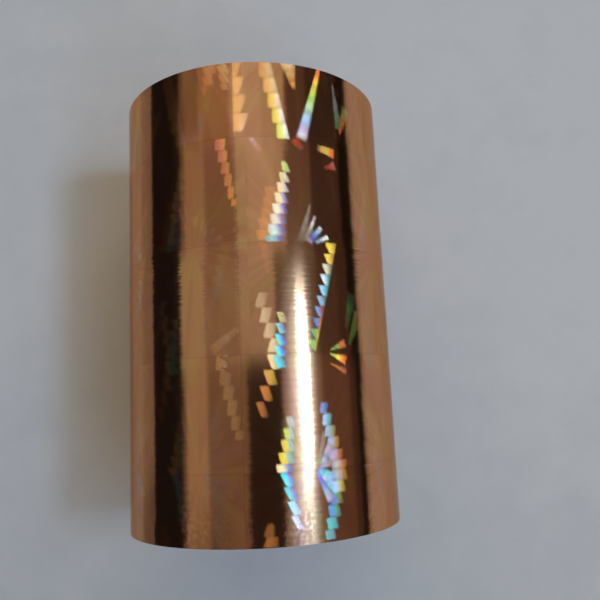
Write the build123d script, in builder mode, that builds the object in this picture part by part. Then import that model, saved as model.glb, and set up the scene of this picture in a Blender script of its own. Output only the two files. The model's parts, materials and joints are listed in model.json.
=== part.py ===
from build123d import *
import os
from math import cos, radians, sin

# A roll of copper-coloured metallised film, wound on a spiral paper core.
# The roll lies on its side. Its axis is Y, +Z is up, and the origin is on the
# axis at the middle of the roll's length. All sizes are in millimetres.
# Angles round the roll are in degrees, from straight up (+Z) towards +X.

# Driving dimensions
film_width = 100.0           # width of the film, so the length of the wound pack
roll_radius = 31.375         # outside of the wound pack
bore_radius = 12.7           # one-inch core
core_stand_out = 0.5         # how far the core stands out of the pack at each end

# The core's paper strips, from the bore outwards
liner_wall = 0.40            # smooth kraft paper lining the bore
body_wall = 0.70             # each grey-board strip
body_ply_count = 3
outer_wall = 0.40            # kraft paper that the film lies on
glue_line = 0.02             # glue between one strip and the next
seam_pitch = 62.0            # how far a strip moves along the core in one turn
seam_gap = 0.5               # between the edges of neighbouring turns of a strip
seam_stagger = 0.23          # of a turn, from one ply's seam to the next

# The film's start, held to the core
start_tape_thickness = 0.06
start_tape_width = 15.0      # round the core
start_tape_length = 90.0     # along the core
start_tape_clearance = 0.01
start_tape_angle = 40.0

# The film's free end
wrap_step = 0.30             # drop in the pack's outline where its last wrap ends
tail_root_angle = 84.0       # where the loose end leaves the pack
tail_length = 17.5           # round the roll
tail_thickness = 0.10        # stands for film of about 0.02
tail_lift = 0.10             # air between the tail and the wrap under it
tail_root_gap = 0.30         # between the tail's fold line and the pack's step

# The clear tape that holds the free end down
tape_width = 12.0            # along the roll
tape_thickness = 0.06
tape_on_tail = 7.0           # round the roll, on the tail
tape_on_pack = 13.0          # round the roll, past the tail's edge
tape_step = 1.0              # length of the tape's slope down to the pack
tape_lift = 0.02             # glue under the tape

# Worked out from those
core_length = film_width + 2 * core_stand_out
core_radius = bore_radius + liner_wall + body_ply_count * body_wall + outer_wall
core_radius = core_radius + (body_ply_count + 1) * glue_line
start_tape_radius = core_radius + start_tape_clearance
pack_bore_radius = start_tape_radius + start_tape_thickness + start_tape_clearance
low_radius = roll_radius - wrap_step
tail_radius = low_radius + tail_lift
tape_radius = tail_radius + tail_thickness + tape_lift

os.makedirs("parts", exist_ok=True)


def on_roll(radius, angle):
    """The point at a radius and an angle round the roll, on the XZ plane."""
    return radius * sin(radians(angle)), radius * cos(radians(angle))


def arc_angle(length, radius):
    """The angle that a length round the roll takes up at a radius."""
    return length / radians(radius)


def ring_sector(inner, outer, start, end):
    """The part of a ring from one angle round the roll to another, as a sketch."""
    with BuildSketch() as sector:
        with BuildLine():
            CenterArc((0, 0), outer, 90 - start, start - end)
            CenterArc((0, 0), inner, 90 - start, start - end)
            Line(on_roll(outer, start), on_roll(inner, start))
            Line(on_roll(outer, end), on_roll(inner, end))
        make_face()
    return sector.sketch


def finish(part, name):
    """Label a finished piece and write its file."""
    part.label = name
    export_step(part, f"parts/{name}.step")
    size = part.bounding_box().size
    print(f"{name}: {len(part.solids())} solid, {part.volume / 1000:.2f} cm3, {size}")


def seam_cutter(inner, wall, shift):
    """A helical strip through a ply's wall, its place set by a shift along the core."""
    overlap = 0.3
    lead_in = 5.0
    start = -core_length / 2 - lead_in - shift
    height = core_length + 2 * lead_in + shift
    with BuildPart() as cutter:
        with BuildLine() as path:
            Helix(seam_pitch, height, inner + wall / 2, center=(0, start, 0), direction=(0, 1, 0))
        entry = path.line @ 0
        outwards = Vector(entry.X, 0, entry.Z)
        with BuildSketch(Plane(origin=entry, x_dir=outwards, z_dir=path.line % 0)):
            Rectangle(wall + 2 * overlap, seam_gap)
        sweep(path=path.line, is_frenet=True)
    return cutter.part


def make_ply(name, inner, wall, shift):
    """A strip of paper wound in a helix into a tube, its edges nearly meeting."""
    cutter = seam_cutter(inner, wall, shift)
    with BuildPart() as ply:
        with BuildSketch(Plane.XZ):
            Circle(inner + wall)
            Circle(inner, mode=Mode.SUBTRACT)
        extrude(amount=core_length / 2, both=True)
        add(cutter, mode=Mode.SUBTRACT)
    finish(ply.part, name)


# Core: a liner, three body plies and an outer ply, their seams staggered
core_walls = [("core_liner", liner_wall)]
for number in range(1, body_ply_count + 1):
    core_walls.append((f"core_body_ply_{number}", body_wall))
core_walls.append(("core_outer_ply", outer_wall))

ply_radius = bore_radius
for index, (ply_name, ply_wall) in enumerate(core_walls):
    make_ply(ply_name, ply_radius, ply_wall, index * seam_stagger * seam_pitch)
    ply_radius = ply_radius + ply_wall + glue_line

# Start tape: double-sided, along the core, under the first wrap of film
start_tape_outside = start_tape_radius + start_tape_thickness
start_tape_end = start_tape_angle + arc_angle(start_tape_width, start_tape_radius)
with BuildPart() as start_tape:
    with BuildSketch(Plane.XZ):
        add(ring_sector(start_tape_radius, start_tape_outside, start_tape_angle, start_tape_end))
    extrude(amount=start_tape_length / 2, both=True)
finish(start_tape.part, "start_tape")

# Wound film: two half circles about two centres make one turn of the spiral,
# from full radius at the tail's root back to one step lower under the tail
second_centre = on_roll(-wrap_step / 2, tail_root_angle)
root_arc_angle = 90 - tail_root_angle
with BuildPart() as foil_web:
    with BuildSketch(Plane.XZ):
        with BuildLine():
            CenterArc((0, 0), roll_radius, root_arc_angle, 180)
            CenterArc(second_centre, roll_radius - wrap_step / 2, root_arc_angle + 180, 180)
            Line(on_roll(roll_radius, tail_root_angle), on_roll(low_radius, tail_root_angle))
        make_face()
        Circle(pack_bore_radius, mode=Mode.SUBTRACT)
    extrude(amount=film_width / 2, both=True)
finish(foil_web.part, "foil_web")

# Tail: the last stretch of film, lying on the wrap below it
tail_start = tail_root_angle + arc_angle(tail_root_gap, tail_radius)
tail_end = tail_start + arc_angle(tail_length, tail_radius)
with BuildPart() as foil_tail:
    with BuildSketch(Plane.XZ):
        add(ring_sector(tail_radius, tail_radius + tail_thickness, tail_start, tail_end))
    extrude(amount=film_width / 2, both=True)
finish(foil_tail.part, "foil_tail")

# Tail tape: on the tail, then down a short slope to just above the pack
tape_start = tail_end - arc_angle(tape_on_tail, tape_radius)
slope_start = tail_end + arc_angle(tape_lift, tape_radius)
slope_end = slope_start + arc_angle(tape_step, tape_radius)
tape_end = tail_end + arc_angle(tape_on_pack, tape_radius)
low_tape_radius = tail_radius
with BuildPart() as tail_tape:
    with BuildSketch(Plane.XZ):
        add(ring_sector(tape_radius, tape_radius + tape_thickness, tape_start, slope_start))
        add(ring_sector(low_tape_radius, low_tape_radius + tape_thickness, slope_end, tape_end))
        with BuildLine():
            Polyline(
                on_roll(tape_radius, slope_start),
                on_roll(tape_radius + tape_thickness, slope_start),
                on_roll(low_tape_radius + tape_thickness, slope_end),
                on_roll(low_tape_radius, slope_end),
                close=True,
            )
        make_face()
    extrude(amount=tape_width / 2, both=True)
finish(tail_tape.part, "tail_tape")

# Where the tail folds away from the roll
pivot = on_roll(tail_radius + tail_thickness / 2, tail_start)
print(f"tail pivot at x {pivot[0]:.4f}, z {pivot[1]:.4f}")
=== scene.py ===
import json
import math
from collections import namedtuple

import bpy
import numpy as np
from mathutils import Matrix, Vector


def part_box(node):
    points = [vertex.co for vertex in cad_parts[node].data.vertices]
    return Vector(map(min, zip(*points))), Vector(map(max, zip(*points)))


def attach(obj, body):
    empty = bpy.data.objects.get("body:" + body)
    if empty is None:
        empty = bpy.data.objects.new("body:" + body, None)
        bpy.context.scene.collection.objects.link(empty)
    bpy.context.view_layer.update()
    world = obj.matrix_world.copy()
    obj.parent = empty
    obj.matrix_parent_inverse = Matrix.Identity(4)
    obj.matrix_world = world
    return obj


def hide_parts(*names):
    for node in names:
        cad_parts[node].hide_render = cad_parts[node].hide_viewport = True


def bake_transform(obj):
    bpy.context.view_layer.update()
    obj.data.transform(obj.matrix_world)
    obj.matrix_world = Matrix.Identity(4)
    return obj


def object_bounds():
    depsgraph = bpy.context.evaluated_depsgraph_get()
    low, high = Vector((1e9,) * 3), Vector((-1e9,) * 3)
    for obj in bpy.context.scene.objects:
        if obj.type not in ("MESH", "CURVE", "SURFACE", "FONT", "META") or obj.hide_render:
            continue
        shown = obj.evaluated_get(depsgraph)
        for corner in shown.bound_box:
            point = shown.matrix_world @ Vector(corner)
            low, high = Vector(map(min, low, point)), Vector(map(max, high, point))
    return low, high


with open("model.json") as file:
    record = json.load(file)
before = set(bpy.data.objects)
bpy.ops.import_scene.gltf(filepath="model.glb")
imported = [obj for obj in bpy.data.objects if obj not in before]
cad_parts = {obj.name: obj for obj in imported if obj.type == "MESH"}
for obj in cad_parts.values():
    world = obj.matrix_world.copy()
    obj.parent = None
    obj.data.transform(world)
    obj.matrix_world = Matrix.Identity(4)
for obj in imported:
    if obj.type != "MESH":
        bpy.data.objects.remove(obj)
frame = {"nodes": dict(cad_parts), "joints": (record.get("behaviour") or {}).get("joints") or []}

CAD_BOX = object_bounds()

# ---------------------------------------------------------------------------
# Sizes, in metres unless a name says otherwise. The roll lies along Y.
# Angles round it are in degrees from straight up (+Z) towards +X.
# ---------------------------------------------------------------------------
MM = 0.001
WEB_LOW, WEB_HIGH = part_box("foil_web")
WEB_HALF = WEB_HIGH.y
ROLL_RADIUS = -WEB_LOW.x
MM_PER_DEGREE = math.radians(ROLL_RADIUS / MM)
PACK_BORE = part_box("start_tape")[1].x + 0.01 * MM  # just outside the tape that holds its start
WRAP_STEP = 0.30 * MM         # drop in the pack's outline where its last wrap ends

# The film's loose end, from the fold that the joint turns on to its cut edge
TAIL_ROOT = 84.0              # where it leaves the pack
TAIL_LENGTH = 17.5 * MM
PIVOT_X, _, PIVOT_Z = frame["joints"][0]["pos_m"]
TAIL_RADIUS = math.hypot(PIVOT_X, PIVOT_Z)


def tail_turn(length):
    """The angle that a length round the roll takes up at the tail."""
    return math.degrees(length / TAIL_RADIUS)


TAIL_START = math.degrees(math.atan2(PIVOT_X, PIVOT_Z))
TAIL_END = TAIL_START + tail_turn(TAIL_LENGTH)

# The clear tape over that edge, which slopes down from the tail to the pack
TAPE_START = TAIL_END - tail_turn(7.0 * MM)
SLOPE_START = TAIL_END + tail_turn(0.02 * MM)
SLOPE_END = SLOPE_START + tail_turn(1.0 * MM)
TAPE_END = TAIL_END + tail_turn(13.0 * MM)
TAPE_RADIUS = TAIL_RADIUS + 0.10 * MM     # middle of the tape's thickness, on the tail
TAPE_DROP = 0.12 * MM
TAPE_HALF_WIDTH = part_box("tail_tape")[1].y
TAPE_TOOTH = 1.2              # mm from one tooth of its cut ends to the next

# The meshes stand for thin film and tape, and keep just inside the CAD box
FILM_SHARE = 1 - 0.0006       # of the pack's length that the film's face covers
RIPPLE_ROOM = 0.05 * MM       # from the pack's outline in to the middle of the film's ripple
RIM_INSET = 0.05 * MM         # from there in to the rim of each end

# The hologram repeats in square tiles, each made of rows of small teeth
TILE = 23.0                   # mm from one seam to the next
ROW_SEAM = 17.0               # mm from the far end to the first seam round the roll
COLUMN_SEAM = -12.0           # degrees round the roll to a seam along it
COLUMN_STEP = TILE / MM_PER_DEGREE


class Graph:
    """Short calls that build a node tree. A value is a number, a tuple or a node's output."""

    def __init__(self, tree):
        self.tree = tree
        tree.nodes.clear()

    def node(self, kind, **settings):
        made = self.tree.nodes.new(kind)
        for name, value in settings.items():
            setattr(made, name, value)
        return made

    def plug(self, socket, value):
        if isinstance(value, bpy.types.NodeSocket):
            self.tree.links.new(value, socket)
        else:
            socket.default_value = value

    def math(self, operation, *values):
        made = self.node("ShaderNodeMath", operation=operation)
        for socket, value in zip(made.inputs, values):
            self.plug(socket, value)
        return made.outputs[0]

    def vector(self, operation, *values):
        made = self.node("ShaderNodeVectorMath", operation=operation)
        for socket, value in zip(made.inputs, values):
            self.plug(socket, value)
        return made.outputs[1 if operation in ("LENGTH", "DOT_PRODUCT") else 0]

    def scale(self, vector, factor):
        made = self.node("ShaderNodeVectorMath", operation="SCALE")
        self.plug(made.inputs[0], vector)
        self.plug(made.inputs["Scale"], factor)
        return made.outputs[0]

    def join(self, x, y, z=0.0):
        made = self.node("ShaderNodeCombineXYZ")
        for socket, value in zip(made.inputs, (x, y, z)):
            self.plug(socket, value)
        return made.outputs[0]

    def split(self, vector):
        made = self.node("ShaderNodeSeparateXYZ")
        self.plug(made.inputs[0], vector)
        return made.outputs

    def step(self, value, low, high, to_low=0.0, to_high=1.0):
        """A smooth step from to_low at low to to_high at high."""
        made = self.node("ShaderNodeMapRange", interpolation_type="SMOOTHSTEP")
        for socket, setting in zip(made.inputs, (value, low, high, to_low, to_high)):
            self.plug(socket, setting)
        return made.outputs[0]

    def line(self, value, low, high, to_low, to_high):
        """A straight ramp, held level outside low and high."""
        made = self.node("ShaderNodeMapRange", clamp=True)
        for socket, setting in zip(made.inputs, (value, low, high, to_low, to_high)):
            self.plug(socket, setting)
        return made.outputs[0]

    def spread(self, noise, to_low, to_high):
        """A noise's usual range, 0.3 to 0.7, as a straight ramp."""
        return self.line(noise, 0.3, 0.7, to_low, to_high)

    def mix(self, factor, first, second):
        made = self.node("ShaderNodeMix", data_type="RGBA")
        self.plug(made.inputs["Factor"], factor)
        self.plug(made.inputs[6], first)
        self.plug(made.inputs[7], second)
        return made.outputs[2]

    def ramp(self, value, stops):
        made = self.node("ShaderNodeValToRGB")
        self.plug(made.inputs[0], value)
        elements = made.color_ramp.elements
        while len(elements) < len(stops):
            elements.new(1.0)
        for element, (place, colour) in zip(elements, stops):
            element.position = place
            element.color = (*colour, 1.0)
        return made.outputs[0]

    def noise(self, vector, scale, detail=2.0, roughness=0.5):
        made = self.with_inputs("ShaderNodeTexNoise", {
            "Vector": vector, "Scale": scale, "Detail": detail, "Roughness": roughness})
        return made.outputs[0]

    def random(self, vector):
        """A different random colour for each whole-number place."""
        made = self.node("ShaderNodeTexWhiteNoise", noise_dimensions="3D")
        self.plug(made.inputs["Vector"], vector)
        return made.outputs["Color"]

    def bump(self, height, strength, distance):
        """A normal roughened by a height, as a surface that moves by up to distance metres."""
        made = self.with_inputs("ShaderNodeBump", {
            "Strength": strength, "Distance": distance, "Height": height})
        return made.outputs[0]

    def with_inputs(self, kind, values):
        """A node, with a constant or a link for each input that values names."""
        made = self.node(kind)
        for name, value in values.items():
            self.plug(made.inputs[name], value)
        return made

    def mix_shaders(self, factor, first, second):
        made = self.node("ShaderNodeMixShader")
        self.plug(made.inputs[0], factor)
        self.plug(made.inputs[1], first.outputs[0])
        self.plug(made.inputs[2], second.outputs[0])
        return made

    def result(self, shader, kind="ShaderNodeOutputMaterial"):
        """Make a shader the tree's result."""
        self.plug(self.node(kind).inputs["Surface"], shader.outputs[0])


def new_object(name, points, faces):
    """A mesh object in the scene."""
    mesh = bpy.data.meshes.new(name)
    mesh.from_pydata(points, [], faces)
    made = bpy.data.objects.new(name, mesh)
    bpy.context.scene.collection.objects.link(made)
    return made


def new_material(name):
    material = bpy.data.materials.new(name)
    material.use_nodes = True
    return material, Graph(material.node_tree)


# ---------------------------------------------------------------------------
# Studio: a pale paper floor, and a soft room with one lamp that the film mirrors
# ---------------------------------------------------------------------------
def band_stops(bands, softness=2.2):
    """Ramp stops for level bands: (angle where it starts, colour), soft at each edge."""
    stops = []
    for (_, before), (edge, after) in zip(bands, bands[1:]):
        stops.append(((edge - softness / 2 + 180) / 360, before))
        stops.append(((edge + softness / 2 + 180) / 360, after))
    return stops


WALL_DARK = (0.015, 0.013, 0.014)
WALL_WARM = (0.34, 0.31, 0.245)
WALL_MID = (0.23, 0.19, 0.16)
WALL_PALE = (0.46, 0.46, 0.42)
WALL_RIGHT = (0.30, 0.30, 0.29)

# The room in four stretches along Y, from the far one to the near one. Each is bands across it,
# from the left wall over the top to the right. A band is the angle where it starts, in degrees
# from up towards +X, and its colour.
ROOM_FAR = [
    (-180, WALL_PALE), (-107, WALL_DARK), (-72, (0.13, 0.10, 0.09)), (-67, (0.22, 0.17, 0.14)),
    (-52, (0.34, 0.26, 0.19)), (-24, (0.46, 0.40, 0.34)), (-20.5, (0.62, 0.62, 0.56)),
    (-11, (0.56, 0.56, 0.54)), (4, (0.48, 0.46, 0.41)), (25, (0.10, 0.08, 0.07)),
    (45, (0.042, 0.034, 0.034)), (74, (0.012, 0.012, 0.012)), (88.5, WALL_RIGHT),
]
ROOM_FAR_MIDDLE = [
    (-180, WALL_PALE), (-107, WALL_DARK), (-72, (0.16, 0.13, 0.11)), (-67.5, WALL_WARM),
    (-48, WALL_MID), (-21, (0.42, 0.43, 0.39)), (-11, (0.49, 0.49, 0.45)),
    (13, (0.43, 0.42, 0.36)), (21, (0.15, 0.12, 0.11)), (45, (0.058, 0.044, 0.042)),
    (75, (0.010, 0.009, 0.009)), (88.5, WALL_RIGHT),
]
ROOM_NEAR_MIDDLE = [
    (-180, WALL_PALE), (-107, WALL_DARK), (-73, (0.37, 0.37, 0.30)), (-50, (0.26, 0.23, 0.18)),
    (-38, (0.28, 0.26, 0.22)), (-21, (0.40, 0.41, 0.37)), (9, (0.13, 0.12, 0.11)),
    (46, (0.080, 0.062, 0.058)), (66, (0.055, 0.042, 0.040)), (77.5, (0.010, 0.010, 0.010)),
    (88.5, WALL_RIGHT),
]
ROOM_NEAR = [
    (-180, WALL_PALE), (-107, WALL_DARK), (-73, (0.15, 0.13, 0.12)), (-69, WALL_WARM),
    (-49.5, (0.185, 0.155, 0.13)), (-17, (0.028, 0.022, 0.022)), (11, (0.22, 0.20, 0.17)),
    (46, (0.125, 0.09, 0.08)), (74, (0.060, 0.045, 0.045)), (81.5, (0.010, 0.010, 0.010)),
    (88.5, WALL_RIGHT),
]
FAR_LEFT = (1.02, 0.76, 0.38, 1)
FAR_RIGHT = (1.72, 1.76, 1.86, 1)
NEAR_LEFT = (0.46, 0.36, 0.20, 1)
NEAR_RIGHT = (0.42, 0.47, 0.54, 1)
LAMP_COLOUR = (0.42, 0.66, 1.0, 1)
LAMP_NEAR_COLOUR = (0.31, 0.60, 1.1, 1)
LAMP_STRENGTH = 19.0
BACKDROP = (0.42, 0.43, 0.44, 1)
FLOOR_SHADE = (0.60, 0.59, 0.57, 1)
FLOOR_PALE = (0.845, 0.80, 0.735, 1)
FLOOR_GRAIN = (0.59, 0.58, 0.56, 1)
CARD_DARK = (0.03, 0.026, 0.028, 1)
# Painted floor shade on the card's lying part, from its upright to its toe
CARD_SHADE = (0.41, 0.33, 0.29, 1)
CARD_PALE = (0.54, 0.52, 0.49, 1)


def room_colour(g, across, along):
    """The bands in each stretch of the room, its two ends, and a shaded corner near on the left."""
    place = g.math("DIVIDE", g.math("ADD", across, 180.0), 360.0)
    room = g.ramp(place, band_stops(ROOM_NEAR))
    for edge, bands in ((3.9, ROOM_NEAR_MIDDLE), (13.6, ROOM_FAR_MIDDLE), (23.0, ROOM_FAR)):
        past_edge = g.step(along, edge - 0.5, edge + 0.5)
        room = g.mix(past_edge, room, g.ramp(place, band_stops(bands)))
    side = g.step(across, -30.0, 60.0)
    room = g.mix(g.step(along, 34.0, 60.0), room, g.mix(side, FAR_LEFT, FAR_RIGHT))
    room = g.mix(g.step(along, -22.0, -45.0), room, g.mix(side, NEAR_LEFT, NEAR_RIGHT))
    near_left = g.math("MULTIPLY", g.step(along, -5.5, -9.5), g.step(across, -22.0, -45.0))
    return g.scale(room, g.math("MULTIPLY_ADD", near_left, -0.33, 1.0))


def lamp_colour(g, across, along):
    """The lamp: a strip above and to the right that fades at both ends, with a dimmer glow."""
    strip = g.math("MULTIPLY", g.step(across, 25.5, 28.0), g.step(across, 36.0, 33.0))
    far_fade = g.math("POWER", g.line(along, 13.5, 6.5, 0, 1), 3.0)
    near_fade = g.math("POWER", g.line(along, -8.5, -3.0, 0.44, 1), 5.0)
    strip = g.math("MULTIPLY", strip, g.math("MULTIPLY", far_fade, near_fade))
    left_glow = g.math("POWER", g.line(across, 9.0, 25.0, 0, 1), 2.0)
    right_glow = g.math("POWER", g.line(across, 43.0, 34.0, 0, 1), 2.0)
    glow = g.math("MULTIPLY", left_glow, right_glow)
    glow = g.math("MULTIPLY", glow, g.line(along, -10.0, -6.0, 1.5, 2.6))
    glow = g.math("MULTIPLY", glow, g.line(along, 13.0, 4.5, 0, 1))
    colour = g.mix(g.step(along, -4.0, -8.0), LAMP_COLOUR, LAMP_NEAR_COLOUR)
    return g.scale(colour, g.math("MULTIPLY_ADD", strip, LAMP_STRENGTH, glow))


def make_world():
    """The room that lights the roll, by direction in degrees: across it, from up towards +X,
    and along Y. The camera itself sees a plain backdrop."""
    world = bpy.data.worlds.new("room")
    world.use_nodes = True
    bpy.context.scene.world = world
    g = Graph(world.node_tree)
    x, y, z = g.split(g.node("ShaderNodeTexCoord").outputs["Generated"])
    across = g.math("MULTIPLY", g.math("ARCTAN2", x, z), math.degrees(1))
    along = g.math("MULTIPLY", g.math("ARCSINE", y), math.degrees(1))
    light = g.vector("ADD", room_colour(g, across, along), lamp_colour(g, across, along))
    lit = g.with_inputs("ShaderNodeBackground", {"Color": light})
    shown = g.with_inputs("ShaderNodeBackground", {"Color": BACKDROP})
    seen = g.node("ShaderNodeLightPath").outputs["Is Camera Ray"]
    g.result(g.mix_shaders(seen, lit, shown), "ShaderNodeOutputWorld")


def make_floor():
    """A large sheet of pale, slightly mottled paper under the roll, with painted shade that darkens it
    towards the near left.
    """
    half = 1.2
    height = CAD_BOX[0][2]
    corners = [(-half, -half), (half, -half), (half, half), (-half, half)]
    floor = new_object("floor", [(x, y, height) for x, y in corners], [(0, 1, 2, 3)])
    material, g = new_material("floor_paper")
    place = g.node("ShaderNodeTexCoord").outputs["Object"]
    x, y, _ = g.split(place)
    cloud = g.noise(place, 14.0, 3.0)
    mottle = g.noise(place, 75.0, 3.0, 0.6)
    grain = g.noise(place, 2600.0, 2.0)
    # Painted shade: the paper darkens towards the near left and pales towards the far right.
    slope = g.line(g.math("MULTIPLY_ADD", x, 0.9, y), -0.15, 0.13, 0.0, 0.85)
    tone = g.math("MULTIPLY_ADD", cloud, 0.5, slope)
    tone = g.math("ADD", tone, g.spread(mottle, -0.17, 0.07))
    colour = g.mix(tone, FLOOR_SHADE, FLOOR_PALE)
    g.result(g.with_inputs("ShaderNodeBsdfPrincipled", {
        "Base Color": g.mix(g.spread(grain, 0, 0.10), colour, FLOOR_GRAIN),
        "Roughness": 0.85,
        "Specular IOR Level": 0.25,
        "Normal": g.bump(grain, 0.12, 0.1 * MM),
    }))
    floor.data.materials.append(material)


def make_left_card():
    """A dark card out of view on the left, which the film mirrors just above the floor. Its lying part
    is painted floor shade, seen only in the film: it lies just over the floor, pales towards the roll,
    and darkens beside the roll's near end."""
    upright = -0.205
    toe = -0.080
    top = 0.060
    half = 0.5
    low = CAD_BOX[0][2] + 0.5 * MM
    profile = [(upright, top), (upright, low), (toe, low)]
    corners = [(x, y, z) for x, z in profile for y in (-half, half)]
    card = new_object("left_card", corners, [(0, 1, 3, 2), (2, 3, 5, 4)])
    material, g = new_material("dark_card_and_painted_floor_shade")
    x, y, _ = g.split(g.node("ShaderNodeTexCoord").outputs["Object"])
    # Painted shade: the floor's shade as the film mirrors it, pale towards the roll and darker beside
    # the roll's near end.
    painted_floor_shade = g.mix(g.line(x, upright, toe, 0.0, 1.0), CARD_SHADE, CARD_PALE)
    painted_floor_shade = g.mix(g.step(y, -0.035, -0.062, 0.0, 0.42), painted_floor_shade, CARD_DARK)
    colour = g.mix(g.step(x, upright, upright + 2 * MM), CARD_DARK, painted_floor_shade)
    paper = g.with_inputs("ShaderNodeBsdfDiffuse", {"Color": colour})
    clear = g.node("ShaderNodeBsdfTransparent")
    g.result(g.mix_shaders(g.step(x, toe, toe - 0.03), clear, paper))
    card.data.materials.append(material)
    card.visible_camera = False
    card.visible_diffuse = False
    card.visible_shadow = False


def make_camera():
    """A phone held close above the roll, looking almost straight down."""
    camera = bpy.data.objects.new("camera", bpy.data.cameras.new("camera"))
    bpy.context.scene.collection.objects.link(camera)
    camera.location = (-0.01248, -0.02393, 0.16190)
    camera.rotation_euler = (0.16955, -0.13276, -0.04646)
    camera.data.sensor_width = 36.0
    camera.data.lens = 39.35
    camera.data.clip_start = 0.01
    bpy.context.scene.camera = camera


# ---------------------------------------------------------------------------
# The film's material
# ---------------------------------------------------------------------------
FILM_DARK = (0.62, 0.27, 0.12, 1)
FILM_LIGHT = (0.86, 0.45, 0.24, 1)
FILM_OLIVE = (0.70, 0.43, 0.16, 1)
FILM_ROSE = (0.72, 0.31, 0.20, 1)
FILM_SEAM = (0.30, 0.14, 0.08, 1)

# The hologram's figures. A place is (degrees round the roll, mm from the far end), and colours
# run from start to end, as strength does. A chain is a row of teeth. Its half width at each end
# and its edges' lean are in degrees, its pitch is in mm, and its two sides have their own colours.
# A ray is smooth, with a half width in mm at each end. Every column of tiles has them all.
# The figures' colours are painted glint colours: the rainbow of lamp light split by the hologram. Their
# glints still catch the lamp, and their strengths set how much.
Chain = namedtuple("Chain", "start end half left_lean right_lean pitch left right strength")
Ray = namedtuple("Ray", "start end start_half end_half colours strength")
TOOTH = 2.3                   # a chain's usual pitch, in mm from one tooth to the next
NOTCH = 0.3                   # degrees cut from a leaning edge between two teeth

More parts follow.
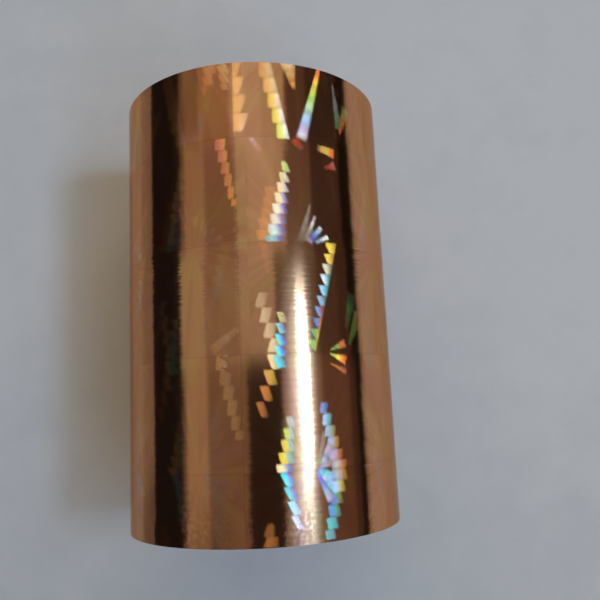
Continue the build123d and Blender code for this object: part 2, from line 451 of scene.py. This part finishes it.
HUES = {
    "red": (0.72, 0.06, 0.03), "rose": (0.62, 0.16, 0.14), "orange": (0.78, 0.28, 0.07),
    "gold": (0.82, 0.46, 0.14), "yellow": (0.80, 0.66, 0.08), "cream": (0.84, 0.70, 0.42),
    "lime": (0.42, 0.68, 0.12), "green": (0.12, 0.52, 0.14), "mint": (0.48, 0.72, 0.46),
    "cyan": (0.06, 0.60, 0.66), "sky": (0.32, 0.60, 0.90), "blue": (0.06, 0.18, 0.78),
    "lilac": (0.52, 0.46, 0.74), "white": (0.86, 0.92, 0.88), "grey": (0.36, 0.38, 0.36),
    "dark": (0.10, 0.12, 0.08),
}
FIGURES = [
    # Row A, from the far end
    Chain((-10.4, -0.7), (-9.2, 17), (1.3, 2.9), 0.0, -3.4, 4.1,
          "gold gold", "gold gold cream", (0.4, 0.6)),
    Chain((0.8, 0), (7.8, 17.2), (2.9, 2.3), -1.6, 0.0, 3.5,
          "gold gold yellow lime", "cream cream white white", (0.3, 1.0)),
    Chain((-20.4, 0), (-23.0, 8), (3.0, 1.4), 1.5, 1.5, TOOTH,
          "gold orange rose", "gold gold orange", (0.42, 0.2)),
    Chain((-15.8, 0), (-14.6, 6), (2.4, 1.3), 1.5, 1.5, TOOTH,
          "gold gold", "cream gold", (0.35, 0.25)),
    Ray((24.8, -1), (14.6, 17.6), 0.5, 1.3, "red orange yellow lime mint sky lilac white", (0.9, 0.85)),
    Ray((10.4, -1), (12.8, 6.0), 2.0, 0.3, "cream gold orange", (0.7, 0.5)),
    Ray((31.0, 2.0), (33.4, 13.5), 0.3, 1.3, "grey grey green", (0.26, 0.30)),
    Ray((33.4, 14.4), (38.4, 7.0), 0.4, 1.4, "red orange green", (0.40, 0.22)),
    # Row B
    Chain((-17.8, 16.9), (-12.6, 32), (2.3, 1.0), -1.6, -1.2, 2.7,
          "rose orange", "gold orange", (0.55, 0.55)),
    Chain((8.0, 22.4), (2.6, 39.9), (1.2, 3.7), 1.6, 2.2, TOOTH,
          "lime cream cream white cyan", "lime white blue blue blue", (0.7, 0.95)),
    Chain((2.0, 28.0), (-1.8, 39.8), (2.2, 3.2), 1.6, 1.0, TOOTH,
          "orange orange", "gold gold", (0.25, 0.35)),
    Ray((-22.5, 39.8), (-28.5, 33.0), 0.7, 1.5, "gold cream gold", (0.16, 0.05)),
    Ray((11.6, 17.2), (15.2, 19.4), 1.0, 0.6, "red red dark", (0.45, 0.3)),
    Ray((-5.4, 17.2), (-1.6, 20.4), 0.5, 0.6, "lilac rose", (0.3, 0.2)),
    Ray((21.6, 18.4), (30.2, 19.2), 0.8, 1.2, "dark gold yellow orange red", (0.5, 0.85)),
    Ray((24.6, 22.8), (30.2, 21.8), 0.6, 1.1, "dark red rose rose", (0.4, 0.5)),
    Ray((12.6, 40), (17.4, 31.2), 1.0, 0.2, "dark grey grey grey", (0.4, 0.5)),
    Ray((14.6, 39.7), (19.4, 33.8), 0.8, 0.3, "grey grey white lilac", (0.4, 0.8)),
    Ray((15.8, 39.9), (21.8, 36.3), 0.9, 0.5, "lilac blue sky white", (0.5, 0.9)),
    Ray((18.6, 39.8), (24.8, 38.3), 0.5, 0.5, "grey sky white white", (0.6, 1.0)),
    # Row C
    Chain((-2.0, 39.8), (-0.6, 47), (1.6, 0.8), 1.0, 1.0, TOOTH,
          "orange rose", "orange rose", (0.12, 0.08)),
    Chain((-4.2, 50.4), (1.6, 63), (1.9, 2.2), -3.0, -3.0, 3.1,
          "cream cream cream", "cream cream cream", (0.2, 0.75)),
    Chain((4.0, 54.4), (2.2, 66.6), (1.3, 1.9), 1.8, 1.8, TOOTH,
          "yellow cyan cyan cyan", "yellow blue blue cyan", (0.9, 1.0)),
    Chain((26.4, 39.6), (15.2, 63), (2.1, 1.2), 3.0, 0.0, TOOTH,
          "yellow yellow white sky sky blue green green", "yellow gold cyan cyan red yellow lime",
          (1.0, 0.8)),
    Ray((22.6, 62.5), (30.4, 60.8), 0.1, 1.0, "lime green orange rose", (0.8, 0.5)),
    Ray((31.0, 58.0), (36.0, 50.0), 0.5, 1.6, "dark green dark", (0.14, 0.10)),
    Ray((32.0, 61.5), (39.0, 54.0), 0.4, 1.6, "green lime gold", (0.10, 0.12)),
    Ray((-12.6, 57.6), (-23.0, 62.0), 0.6, 1.2, "gold cream gold", (0.09, 0.05)),
    # Row D
    Chain((-19.4, 62.8), (-13.2, 79.5), (2.5, 1.5), -1.8, -1.8, 3.0,
          "gold gold", "cream gold", (0.11, 0.07)),
    Chain((1.4, 63), (-5.4, 75.4), (2.2, 1.4), 3.4, 3.4, 3.1,
          "cream gold orange orange", "cyan yellow orange rose", (0.9, 0.25)),
    Chain((5.8, 75.4), (2.6, 86.2), (1.2, 3.0), 2.0, 1.2, TOOTH,
          "lilac lime yellow yellow cream", "sky sky cyan cyan blue", (0.5, 1.0)),
    Chain((18.2, 73), (24.4, 86.2), (1.4, 3.4), -1.4, -2.2, TOOTH,
          "blue sky sky lilac grey", "blue cyan yellow orange orange", (0.7, 0.75)),
    Ray((22.2, 63.1), (30.4, 64.6), 0.1, 1.1, "lime lime yellow orange red", (1.0, 0.8)),
    Ray((22.0, 65.0), (30.2, 67.0), 0.1, 0.7, "orange orange rose", (0.6, 0.4)),
    Ray((15.4, 85.4), (18.8, 78.6), 0.3, 0.7, "green grey grey grey", (0.5, 0.3)),
    Ray((16.2, 85.6), (22.0, 81.2), 0.5, 1.4, "grey sky lilac grey", (0.6, 0.6)),
    Ray((15.4, 85.8), (23.4, 84.4), 0.3, 1.1, "blue lilac grey white", (0.7, 0.5)),
    # Row E, to the near end
    Chain((3.2, 86.2), (7.4, 98), (1.9, 1.2), 1.4, 1.4, 2.7,
          "cyan cyan sky white", "blue blue sky lilac", (1.1, 0.8)),
    Chain((24.6, 86.2), (18.6, 99.6), (3.4, 1.9), 1.4, 2.2, TOOTH,
          "grey sky blue cyan cyan", "orange yellow green cyan sky", (0.9, 0.7)),
    Chain((-3.6, 95.6), (-2.8, 100), (1.3, 2.8), -1.4, -1.4, TOOTH,
          "orange orange", "gold orange", (0.22, 0.34)),
    Ray((15.2, 86.0), (22.4, 88.4), 0.6, 1.3, "blue cyan sky blue", (1.0, 0.8)),
    Ray((15.2, 86.6), (20.2, 92.4), 0.5, 1.0, "blue blue sky lilac", (0.9, 0.6)),
    Ray((16.0, 86.8), (23.2, 91.2), 0.4, 1.1, "lilac sky cyan green", (0.8, 0.7)),
]
COPY_STRENGTH = np.array([1.0, 0.3, 0.8])  # a figure's strength 0, 1 and more columns from its place
LAMP_BEARING = 33.0           # degrees from up towards +X to the middle of the lamp
FIGURE_SHARE = 0.12           # how much of the film's reflection a bright figure takes
PAINTED_GLINT_TINT = 0.25            # how far its painted glint colour also tints the film's own reflection
FIGURE_GAIN = (2.5, 1.55, 1.0)  # evens out the lamp's blue cast
STAR_CENTRE = (13.0, 40.0)    # where the film's faint rays meet, in each column
STAR_STEP = 46.0              # mm along the roll from one such centre to the next


def soft(value, low, high):
    """A smooth step from 0 at low to 1 at high."""
    place = np.clip((value - low) / (high - low), 0, 1)
    return place * place * (3 - 2 * place)


def in_column(around, middle):
    """Degrees round the roll, brought into the column of tiles centred on middle, with how many
    columns away they were, up to 2."""
    away = np.round((around - middle) / COLUMN_STEP)
    return around - away * COLUMN_STEP, np.minimum(np.abs(away), 2).astype(int)


def chain(figure, around, down):
    """How strongly a chain shows, how far along it each tooth is, and the place across it."""
    (start, top), (end, bottom) = figure.start, figure.end
    slope = (end - start) / (bottom - top)
    teeth = (down - top) / figure.pitch
    tooth = np.floor(teeth)
    in_tooth = teeth - tooth - 0.5
    here, away = in_column(around, (start + end) / 2)
    off = here - start - slope * (down - top)
    share = np.clip((down - top) / (bottom - top), 0, 1)
    half = figure.half[0] + (figure.half[1] - figure.half[0]) * share
    notch = NOTCH * soft(np.abs(in_tooth), 0.32, 0.5)
    left = off + half - figure.left_lean * in_tooth - (notch if figure.left_lean else 0)
    right = half - off + figure.right_lean * in_tooth - (notch if figure.right_lean else 0)
    run = (tooth + 0.5) * figure.pitch / (bottom - top)
    inside = (run > 0) & (run < 1) & (down < bottom)
    tooth_tone = 0.7 + 0.3 * soft(np.abs(in_tooth), 0.5, 0.38)
    band = soft(left, -0.2, 0.3) * soft(right, -0.2, 0.3) * tooth_tone
    across = np.clip(left / np.maximum(left + right, 0.01), 0, 1)
    return np.where(inside, band, 0) * COPY_STRENGTH[away], run, across


def ray(figure, around, down):
    """How strongly a straight ray shows, and how far along it each place is."""
    (start, top), (end, bottom) = figure.start, figure.end
    width = (end - start) * MM_PER_DEGREE
    length = math.hypot(width, bottom - top)
    along_x = width / length
    along_y = (bottom - top) / length
    here, away = in_column(around, (start + end) / 2)
    x = (here - start) * MM_PER_DEGREE
    y = down - top
    run = (x * along_x + y * along_y) / length
    off = np.abs(x * along_y - y * along_x)
    half = figure.start_half + (figure.end_half - figure.start_half) * np.clip(run, 0, 1)
    band = soft(half - off, -0.2, 0.35) * soft(run, 0, 0.06) * soft(run, 1.0, 0.92)
    return band * COPY_STRENGTH[away], run


def hues_along(names, run):
    """The colour at each place along a figure, from its named colours."""
    hues = np.array([HUES[name] for name in names.split()])
    places = np.linspace(0, 1, len(hues))
    return np.stack([np.interp(run, places, hues[:, part]) for part in range(3)], -1)


def lamp_tilt(angle):
    """The tilt, in degrees, that makes the film show the lamp at this angle round the roll."""
    mirrored = 2.2 * angle + 5.6  # the bearing that the camera sees in film with no tilt
    return (LAMP_BEARING - mirrored) / 2


def make_figures(around, down):
    """Each place's figure as a colour with its strength, and a tilt round the roll. Both the
    colour and the tilt are scaled by the strength."""
    colour = np.zeros(around.shape + (4,))
    tilt = np.zeros(around.shape)
    for number, figure in enumerate(FIGURES):
        if isinstance(figure, Chain):
            band, run, across = chain(figure, around, down)
            side = soft(across, 0.30, 0.90)[..., None]
            hue = hues_along(figure.left, run) * (1 - side) + hues_along(figure.right, run) * side
        else:
            band, run = ray(figure, around, down)
            hue = hues_along(figure.colours, run)
        uneven = np.random.default_rng(number).uniform(0.75, 1.15, 41)
        patch = np.clip(run * 12, 0, 40).astype(int)
        band = band * np.interp(run, (0, 1), figure.strength) * uneven[patch]
        start_tilt = lamp_tilt(figure.start[0])
        end_tilt = lamp_tilt(figure.end[0])
        here_tilt = start_tilt + (end_tilt - start_tilt) * np.clip(run, 0, 1)
        more = band > colour[..., 3]
        colour[more] = np.concatenate([hue * band[..., None], band[..., None]], -1)[more]
        tilt = np.where(more, here_tilt * band, tilt)
    return colour, tilt


def mark_film(mesh, around, down):
    """Gives each point of a film mesh its place, in degrees and mm, and its figure's tilt and
    colour."""
    colour, tilt = make_figures(around, down)
    place = mesh.attributes.new("film", "FLOAT_VECTOR", "POINT")
    place.data.foreach_set("vector", np.stack([around, down, tilt], -1).ravel().astype(np.float32))
    figure = mesh.attributes.new("figure", "FLOAT_COLOR", "POINT")
    figure.data.foreach_set("color", colour.ravel().astype(np.float32))


def film_normal(g, across_tilt, along_tilt):
    """The film's normal, tipped round the roll and along it by tilts in degrees."""
    normal = g.node("ShaderNodeNewGeometry").outputs["Normal"]
    around = g.vector("CROSS_PRODUCT", (0.0, 1.0, 0.0), normal)
    across = g.math("TANGENT", g.math("RADIANS", across_tilt))
    along = g.math("TANGENT", g.math("RADIANS", along_tilt))
    tipped = g.vector("ADD", normal, g.scale(around, across))
    return g.vector("NORMALIZE", g.vector("ADD", tipped, g.join(0.0, along, 0.0)))


def star_rays(g, around, down, column, tile_row):
    """Broad faint rays from the middle of each star, and a tint that follows them."""
    star_around, star_down = STAR_CENTRE
    x = g.math("WRAP", g.math("SUBTRACT", around, star_around), COLUMN_STEP / 2, -COLUMN_STEP / 2)
    x = g.math("MULTIPLY", x, MM_PER_DEGREE)
    y = g.math("WRAP", g.math("SUBTRACT", down, star_down), STAR_STEP / 2, -STAR_STEP / 2)
    bearing = g.math("ARCTAN2", x, y)
    rays = g.noise(g.join(g.math("MULTIPLY", bearing, 3.5), tile_row, column), 1.0, 2.0, 0.6)
    clear_of_middle = g.step(g.vector("LENGTH", g.join(x, y)), 1.0, 9.0)
    rays = g.math("MULTIPLY_ADD", g.math("SUBTRACT", rays, 0.5), clear_of_middle, 0.5)
    turn = g.math("MULTIPLY", bearing, 2.2)
    tint = g.noise(g.join(turn, g.math("MULTIPLY", down, 0.08), column), 1.0, 1.0)
    return rays, tint


def film_tilts(g, around, down, lean_x, lean_y, rays):
    """How the plain film tips, in degrees round the roll and along it: each tile its own way, with
    the rays, in fine lines round the roll, and in slight crinkles at the near end."""
    lines = g.noise(g.join(g.math("MULTIPLY", around, 0.05), g.math("MULTIPLY", down, 2.6)), 1.0, 2.0)
    second_seam = ROW_SEAM + TILE
    line_tilt = g.line(down, 44.0, 58.0, 0.6, 0.0)
    past_seam = g.step(down, second_seam - 0.1, second_seam + 0.1)
    line_tilt = g.math("MULTIPLY_ADD", past_seam, line_tilt, 0.40)
    line_tilt = g.math("MULTIPLY", g.spread(lines, -1.0, 1.0), line_tilt)
    across = g.math("ADD", g.line(lean_x, 0, 1, -0.5, 0.5), line_tilt)
    across = g.math("ADD", across, g.spread(rays, -0.5, 0.5))
    crinkle = g.join(g.math("MULTIPLY", around, 0.7), g.math("MULTIPLY", down, 1.1))
    crinkle = g.noise(crinkle, 1.0, 1.0)
    near_end = g.step(down, 90.0, 97.0)
    across = g.math("MULTIPLY_ADD", g.spread(crinkle, -0.6, 0.6), near_end, across)
    along = g.line(lean_y, 0, 1, -0.3, 0.3)
    along = g.math("MULTIPLY_ADD", g.spread(crinkle, -0.2, 1.5), near_end, along)
    return across, along


def tile_seams(g, around, down):
    """How strongly the seams between the tiles show."""
    x = g.math("PINGPONG", g.math("SUBTRACT", around, COLUMN_SEAM), COLUMN_STEP / 2)
    x = g.math("MULTIPLY", x, MM_PER_DEGREE)
    y = g.math("PINGPONG", g.math("SUBTRACT", down, ROW_SEAM), TILE / 2)
    return g.step(g.math("MINIMUM", x, y), 0.18, 0.06, 0.0, 0.15)


def make_film_material():
    """Copper-coloured mirror film, with the figures of its hologram as glints in painted colours."""
    material, g = new_material("holographic_copper_film")
    film_place = g.node("ShaderNodeAttribute", attribute_name="film").outputs["Vector"]
    around, down, lit_tilt = g.split(film_place)
    figure = g.node("ShaderNodeAttribute", attribute_name="figure")
    lit = figure.outputs["Alpha"]
    share = g.math("DIVIDE", 1.0, g.math("MAXIMUM", lit, 0.02))
    hue = g.scale(figure.outputs["Color"], share)

    # A figure's glint is tipped towards the lamp and catches it, in a painted glint colour. The plain
    # film keeps only a trace of that painted colour.
    glint_along = g.math("ADD", g.line(down, 0.0, 58.0, -12.5, 0.0), g.line(down, 74.0, 100.0, 0.0, 4.5))
    glint = g.with_inputs("ShaderNodeBsdfGlossy", {
        "Color": g.vector("MULTIPLY", hue, FIGURE_GAIN),
        "Roughness": 0.22,
        "Normal": film_normal(g, g.math("MULTIPLY", lit_tilt, share), glint_along),
    })
    glint.distribution = "GGX"

    column = g.math("DIVIDE", g.math("SUBTRACT", around, COLUMN_SEAM), COLUMN_STEP)
    column = g.math("FLOOR", column)
    tile_row = g.math("FLOOR", g.math("DIVIDE", g.math("SUBTRACT", down, ROW_SEAM), TILE))
    lean_x, lean_y, tile_tone = g.split(g.random(g.join(column, tile_row, 3.0)))
    rays, tint = star_rays(g, around, down, column, tile_row)
    across_tilt, along_tilt = film_tilts(g, around, down, lean_x, lean_y, rays)
    tone = g.math("ADD", g.line(tile_tone, 0, 1, -0.12, 0.12), g.line(rays, 0.35, 0.65, -0.28, 0.28))
    colour = g.mix(g.math("ADD", tone, 0.5), FILM_DARK, FILM_LIGHT)
    colour = g.mix(g.step(tint, 0.50, 0.70, 0.0, 0.5), colour, FILM_OLIVE)
    colour = g.mix(g.step(tint, 0.50, 0.30, 0.0, 0.5), colour, FILM_ROSE)
    # Painted glint colour: the film's own colour takes a trace of each figure's rainbow.
    colour = g.mix(g.math("MULTIPLY", lit, PAINTED_GLINT_TINT), colour, hue)
    film = g.with_inputs("ShaderNodeBsdfPrincipled", {
        "Base Color": g.mix(tile_seams(g, around, down), colour, FILM_SEAM),
        "Metallic": 1.0,
        "Roughness": 0.10,
        "Specular Tint": (0.80, 0.62, 0.48, 1),
        "Normal": film_normal(g, across_tilt, along_tilt),
    })
    g.result(g.mix_shaders(g.math("MULTIPLY", lit, FIGURE_SHARE), film, glint))
    return material


def make_film_edge_material():
    """The pack's ends: hundreds of film edges side by side, a satin copper with fine rings."""
    material, g = new_material("wound_film_edges")
    x, _, z = g.split(g.node("ShaderNodeTexCoord").outputs["Object"])
    radius = g.math("MULTIPLY", g.vector("LENGTH", g.join(x, z)), 1 / MM)
    bearing = g.math("ARCTAN2", x, z)
    rings = g.join(g.math("MULTIPLY", radius, 6.0), g.math("MULTIPLY", bearing, 0.3))
    rings = g.noise(rings, 1.0, 4.0, 0.7)
    bands = g.join(g.math("MULTIPLY", radius, 0.9), g.math("MULTIPLY", bearing, 0.5), 5.0)
    bands = g.noise(bands, 1.0, 2.0)
    colour = g.mix(g.step(rings, 0.30, 0.70), (0.42, 0.20, 0.10, 1), (0.78, 0.47, 0.30, 1))
    colour = g.mix(g.line(bands, 0.35, 0.65, 0.0, 0.35), colour, (0.60, 0.42, 0.33, 1))
    g.result(g.with_inputs("ShaderNodeBsdfPrincipled", {
        "Base Color": colour,
        "Metallic": 0.75,
        "Roughness": g.spread(rings, 0.30, 0.48),
        "Normal": g.bump(rings, 0.5, 0.06 * MM),
    }))
    return material


def make_film_back_material():
    """The film's plain side: duller and more silvery than its face."""
    material, g = new_material("film_back")
    place = g.node("ShaderNodeTexCoord").outputs["Object"]
    haze = g.noise(place, 90.0, 3.0)
    grain = g.noise(g.vector("MULTIPLY", place, (900.0, 4000.0, 900.0)), 1.0, 2.0)
    g.result(g.with_inputs("ShaderNodeBsdfPrincipled", {
        "Base Color": g.mix(haze, (0.66, 0.55, 0.48, 1), (0.78, 0.70, 0.64, 1)),
        "Metallic": 1.0,
        "Roughness": g.spread(grain, 0.20, 0.32),
    }))
    return material


def make_tape_material():
    """Clear tape: glossy, faintly yellow, with tiny air bubbles in its glue."""
    material, g = new_material("clear_tape")
    place = g.node("ShaderNodeTexCoord").outputs["Object"]
    bubbles = g.with_inputs("ShaderNodeTexVoronoi", {"Vector": place, "Scale": 1400.0})
    bubble = g.step(bubbles.outputs["Distance"], 0.30, 0.16)
    haze = g.noise(place, 320.0, 3.0)
    clear = g.line(haze, 0.35, 0.65, 0.10, 0.20)
    g.result(g.with_inputs("ShaderNodeBsdfPrincipled", {
        "Base Color": g.mix(bubble, (0.84, 0.72, 0.50, 1), (0.92, 0.90, 0.84, 1)),
        "Roughness": g.spread(haze, 0.06, 0.16),
        "Alpha": g.math("MULTIPLY_ADD", bubble, 0.16, clear),
        "Normal": g.bump(g.math("ADD", haze, bubble), 0.35, 0.03 * MM),
    }))
    return material


def make_paper_material(name, pale, dark, fleck, fleck_share):
    """Core paper: cloudy, with fibres lying every way and a few darker flecks."""
    material, g = new_material(name)
    place = g.node("ShaderNodeTexCoord").outputs["Object"]
    cloud = g.noise(place, 260.0, 4.0, 0.6)
    warped = g.vector("ADD", place, g.scale(g.join(cloud, cloud, cloud), 1.2 * MM))
    fibre = g.noise(g.vector("MULTIPLY", warped, (5200.0, 900.0, 5200.0)), 1.0, 3.0, 0.7)
    cross_fibre = g.noise(g.vector("MULTIPLY", warped, (1200.0, 6000.0, 1200.0)), 1.0, 3.0, 0.7)
    flecks = g.noise(g.vector("MULTIPLY", warped, (1500.0, 700.0, 1500.0)), 1.0, 1.0)
    colour = g.mix(g.spread(cloud, 0, 1), dark, pale)
    colour = g.mix(g.line(fibre, 0.35, 0.7, 0, 0.35), colour, pale)
    colour = g.mix(g.math("MULTIPLY", g.step(flecks, 0.66, 0.72), fleck_share), colour, fleck)
    g.result(g.with_inputs("ShaderNodeBsdfPrincipled", {
        "Base Color": colour,
        "Roughness": g.spread(fibre, 0.72, 0.9),
        "Specular IOR Level": 0.3,
        "Normal": g.bump(g.math("ADD", fibre, cross_fibre), 0.6, 0.08 * MM),
    }))
    return material


# ---------------------------------------------------------------------------
# Meshes
# ---------------------------------------------------------------------------
def smooth_noise(places, seed, count=14, shortest=18.0, longest=70.0):
    """A smooth random height at each (mm round, mm along) place, about -1 to 1."""
    random = np.random.default_rng(seed)
    total = np.zeros(places.shape[:-1])
    for _ in range(count):
        wave = random.uniform(shortest, longest)
        heading = random.normal(0.0, 0.45)
        phase = random.uniform(0, 2 * math.pi)
        run = places[..., 0] * math.cos(heading) + places[..., 1] * math.sin(heading)
        total += np.sin(2 * math.pi * run / wave + phase) * wave / longest
    return total / math.sqrt(count)


def grid_faces(columns, rows, first=0, closed=False):
    """Quads of a grid of points stored column by column. A closed grid's last column meets its
    first."""
    strips = columns if closed else columns - 1
    column, row = np.meshgrid(np.arange(strips), np.arange(rows - 1), indexing="ij")
    here = column * rows + row
    beside = (column + 1) % columns * rows + row
    quads = np.stack([here, beside, beside + 1, here + 1], -1).reshape(-1, 4)
    return (quads + first).tolist()


def add_piece(name, points, faces, materials, face_materials, stands_for):
    """A mesh object for the roll, smooth apart from its sharp edges."""
    piece = new_object(name, points.reshape(-1, 3).tolist(), faces)
    mesh = piece.data
    for material in materials:
        mesh.materials.append(material)
    mesh.polygons.foreach_set("material_index", face_materials)
    mesh.polygons.foreach_set("use_smooth", [True] * len(mesh.polygons))
    mesh.set_sharp_from_angle(angle=math.radians(35))
    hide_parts(stands_for)
    return piece


def on_roll(radius, degrees, y):
    """Points at a radius and an angle round the roll."""
    radians = np.radians(degrees)
    x, y, z = np.broadcast_arrays(radius * np.sin(radians), y, radius * np.cos(radians))
    return np.stack([x, y, z], -1)


def pack_radius(degrees):
    """The pack's outline: one wrap's spiral, with a step down past the tail's root."""
    past_root = (degrees - TAIL_ROOT) % 360.0
    spiral = ROLL_RADIUS - WRAP_STEP / 2 * (1 + np.cos(np.radians(past_root)))
    return np.where(past_root < 180.0, spiral, ROLL_RADIUS)


def make_web(film, edge):
    """The wound pack: the outer wrap, finely layered ends, and the bore that holds the core."""
    rows = 321
    rings = 40
    # Columns are closest over the top, where the figures glint
    top = np.linspace(-35.0, 45.0, 201)
    before = np.linspace(TAIL_ROOT - 359.9, top[0], 201)[:-1]
    after = np.linspace(top[-1], TAIL_ROOT, 41)[1:]
    degrees = np.concatenate([before, top, after])
    columns = len(degrees)
    down = np.linspace(0.0, 2 * WEB_HALF / MM, rows)
    film_places = np.stack(np.meshgrid(degrees * MM_PER_DEGREE, down, indexing="ij"), -1)
    ripple = 0.016 * MM * smooth_noise(film_places, seed=4)
    outline = pack_radius(degrees)[:, None] - RIPPLE_ROOM
    random = np.random.default_rng(7)

    wrap_y = (WEB_HALF - down * MM) * FILM_SHARE
    wrap = on_roll(outline + ripple, degrees[:, None], wrap_y[None, :])
    share = np.linspace(1.0, 0.0, rings)
    ring_radius = PACK_BORE + (outline - RIM_INSET - PACK_BORE) * share[None, :]
    ends = []
    # Each ring of film edge lies its own small amount, in mm, inside the pack's end
    for side in (1, -1):
        offset = random.uniform(0.0, 0.07, rings) + 0.10 * np.sin(share * 5.0 + side) ** 2
        offset = np.where(share > 0.97, 0.02, offset) * MM
        ends.append(on_roll(ring_radius, degrees[:, None], (side * (WEB_HALF - offset))[None, :]))
    # One loop of points per column: bore to far rim, down the wrap, near rim back to the bore
    points = np.concatenate([ends[0][:, ::-1], wrap, ends[1]], 1)
    loop = points.shape[1]
    faces = grid_faces(columns, loop, closed=True)
    column = np.arange(columns) * loop
    beside = (np.arange(columns) + 1) % columns * loop
    faces += np.stack([column + loop - 1, beside + loop - 1, beside, column], -1).tolist()
    row = np.tile(np.arange(loop - 1), columns)
    is_wrap = (row >= rings - 1) & (row < rings + rows)
    face_materials = np.concatenate([np.where(is_wrap, 0, 1), np.ones(columns, int)])
    web = add_piece("foil_wrap", points, faces, [film, edge], face_materials, "foil_web")
    point_down = np.concatenate([np.zeros(rings), down, np.full(rings, down[-1])])
    around = np.broadcast_to(degrees[:, None], points.shape[:2])
    mark_film(web.data, around, np.broadcast_to(point_down, points.shape[:2]))
    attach(web, "roll")


def make_slab(name, middle, thickness, degrees, ys, materials, stands_for):
    """A thin curved sheet as one closed mesh: outer face first, then inner face and edges."""
    columns = len(degrees)
    rows = len(ys)
    outside = on_roll(middle + thickness / 2, degrees, ys[None, :])
    inside = on_roll(middle - thickness / 2, degrees, ys[None, :])
    points = np.concatenate([outside.reshape(-1, 3), inside.reshape(-1, 3)])
    count = columns * rows
    outer_faces = grid_faces(columns, rows)
    faces = outer_faces + [face[::-1] for face in grid_faces(columns, rows, first=count)]
    rim = [column * rows for column in range(columns)]
    rim += [(columns - 1) * rows + row for row in range(1, rows)]
    rim += [column * rows + rows - 1 for column in range(columns - 2, -1, -1)]
    rim += list(range(rows - 2, 0, -1))
    for here, beside in zip(rim, rim[1:] + rim[:1]):
        faces.append([beside, here, here + count, beside + count])
    face_materials = [0] * len(outer_faces) + [len(materials) - 1] * (len(faces) - len(outer_faces))
    return add_piece(name, points, faces, materials, face_materials, stands_for)


def make_tail(film, back):
    """The film's loose end, lying on the wrap below it."""
    degrees = np.linspace(TAIL_START, TAIL_END, 84)[:, None]
    ys = np.linspace(WEB_HALF, -WEB_HALF, 241) * FILM_SHARE
    down = (WEB_HALF - ys) / MM
    around, down = np.meshgrid(degrees[:, 0], down, indexing="ij")
    ripple = 0.010 * MM * smooth_noise(np.stack([around * MM_PER_DEGREE, down], -1), seed=9)
    tail = make_slab("foil_tail_end", TAIL_RADIUS + ripple, 0.06 * MM, degrees, ys,
                     [film, back], "foil_tail")
    mark_film(tail.data, np.stack([around] * 2), np.stack([down] * 2))
    bend = [on_roll(TAIL_RADIUS, TAIL_START + turn, 0.0) for turn in (0.0, 5.0)]
    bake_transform(tail)


def make_tape(tape):
    """A short piece of clear tape over the tail's edge, its ends cut by a toothed blade."""
    on_tail = np.linspace(TAPE_START, SLOPE_START, 40)
    on_slope = np.linspace(SLOPE_START, SLOPE_END, 8)[1:]
    on_pack = np.linspace(SLOPE_END, TAPE_END, 40)[1:]
    degrees = np.concatenate([on_tail, on_slope, on_pack])[:, None]
    ys = np.linspace(TAPE_HALF_WIDTH, -TAPE_HALF_WIDTH, 81)
    middle = TAPE_RADIUS - soft(degrees, SLOPE_START, SLOPE_END) * TAPE_DROP
    zigzag = np.abs(ys / MM / TAPE_TOOTH % 1.0 - 0.5) * 2
    tooth_turn = 0.45 * TAPE_TOOTH / MM_PER_DEGREE
    at_start = soft(degrees, TAPE_START + 4 * tooth_turn, TAPE_START)
    at_end = soft(degrees, TAPE_END - 4 * tooth_turn, TAPE_END)
    degrees = degrees + tooth_turn * zigzag[None, :] * (at_start - at_end)
    piece = make_slab("clear_tail_tape", middle, 0.05 * MM, degrees, ys,
                      [tape], "tail_tape")
    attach(piece, "tail")


def dress_core():
    """Paper for the core's strips and the start tape, which keep their CAD shapes."""
    kraft = make_paper_material("kraft_paper", (0.50, 0.34, 0.20, 1), (0.36, 0.23, 0.13, 1),
                                (0.17, 0.10, 0.06, 1), 0.5)
    board = make_paper_material("grey_board", (0.42, 0.36, 0.29, 1), (0.29, 0.24, 0.19, 1),
                                (0.13, 0.12, 0.12, 1), 0.7)
    white = make_paper_material("white_tape_paper", (0.80, 0.79, 0.75, 1), (0.70, 0.69, 0.66, 1),
                                (0.5, 0.5, 0.5, 1), 0.1)
    papers = {"core_liner": kraft, "core_outer_ply": kraft, "start_tape": white}
    for name, node in frame["nodes"].items():
        paper = board if name.startswith("core_body_ply") else papers.get(name)
        if paper is not None:
            for slot in node.material_slots:
                slot.material = paper


bpy.context.scene.view_settings.view_transform = "Standard"
make_world()
make_floor()
make_left_card()
make_camera()
film_material = make_film_material()
make_web(film_material, make_film_edge_material())
make_tail(film_material, make_film_back_material())
make_tape(make_tape_material())
dress_core()
